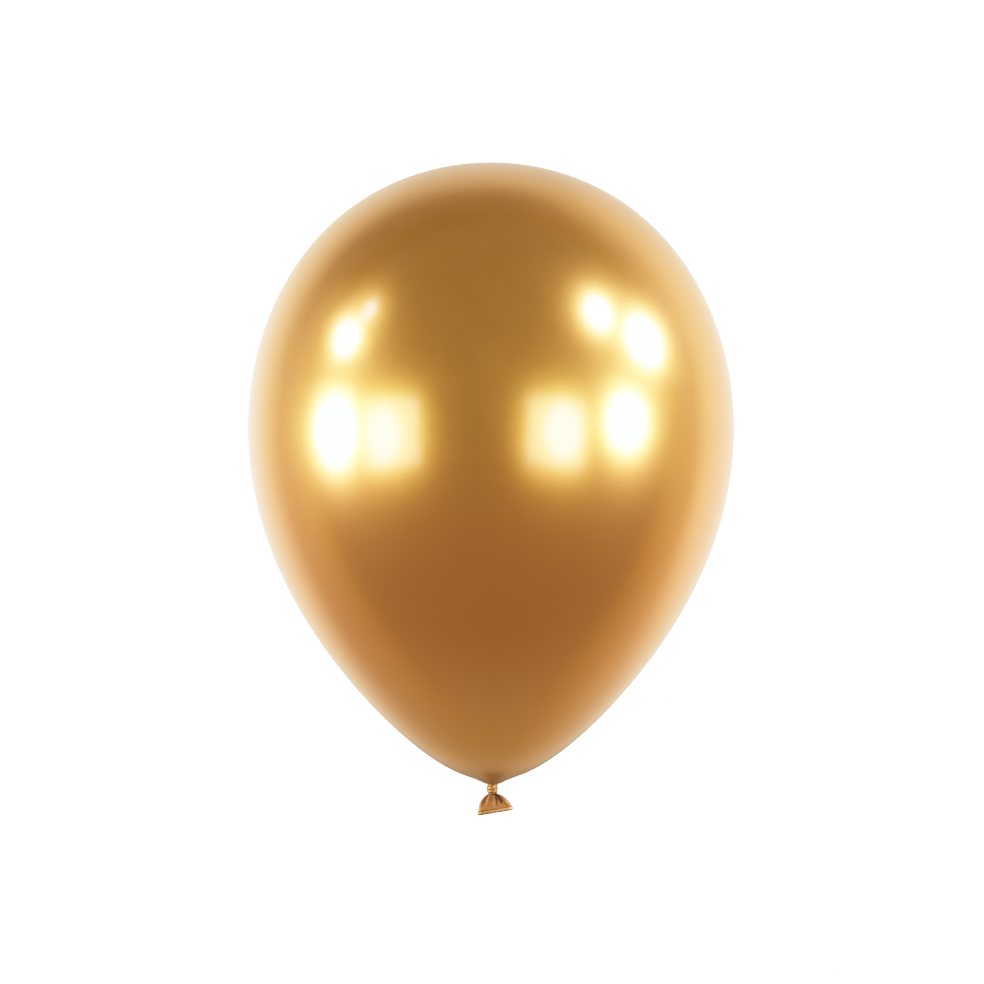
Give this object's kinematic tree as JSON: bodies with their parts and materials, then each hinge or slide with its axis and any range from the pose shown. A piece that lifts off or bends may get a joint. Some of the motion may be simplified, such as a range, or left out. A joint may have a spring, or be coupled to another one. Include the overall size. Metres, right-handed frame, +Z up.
{
  "type": "latex balloon",
  "caption": "Blown-up round latex party balloon with a satin metallic gold skin, tied in its own neck, lying on its side on a small flat spot",
  "frame": {"origin": "centre of the flat rest spot on the underside, straight below the widest section", "axes": "+Y runs along the balloon from the mouth to the crown, +X across it, +Z up"},
  "size_m": [0.28, 0.3757, 0.2786],
  "materials": {
    "latex": "satin metallic gold latex, stretched thin and glossy on the body, thicker and duller at the neck, knot and rolled rim"
  },
  "bodies": {
    "root": {"balloon": "latex"}
  },
  "joints": []
}
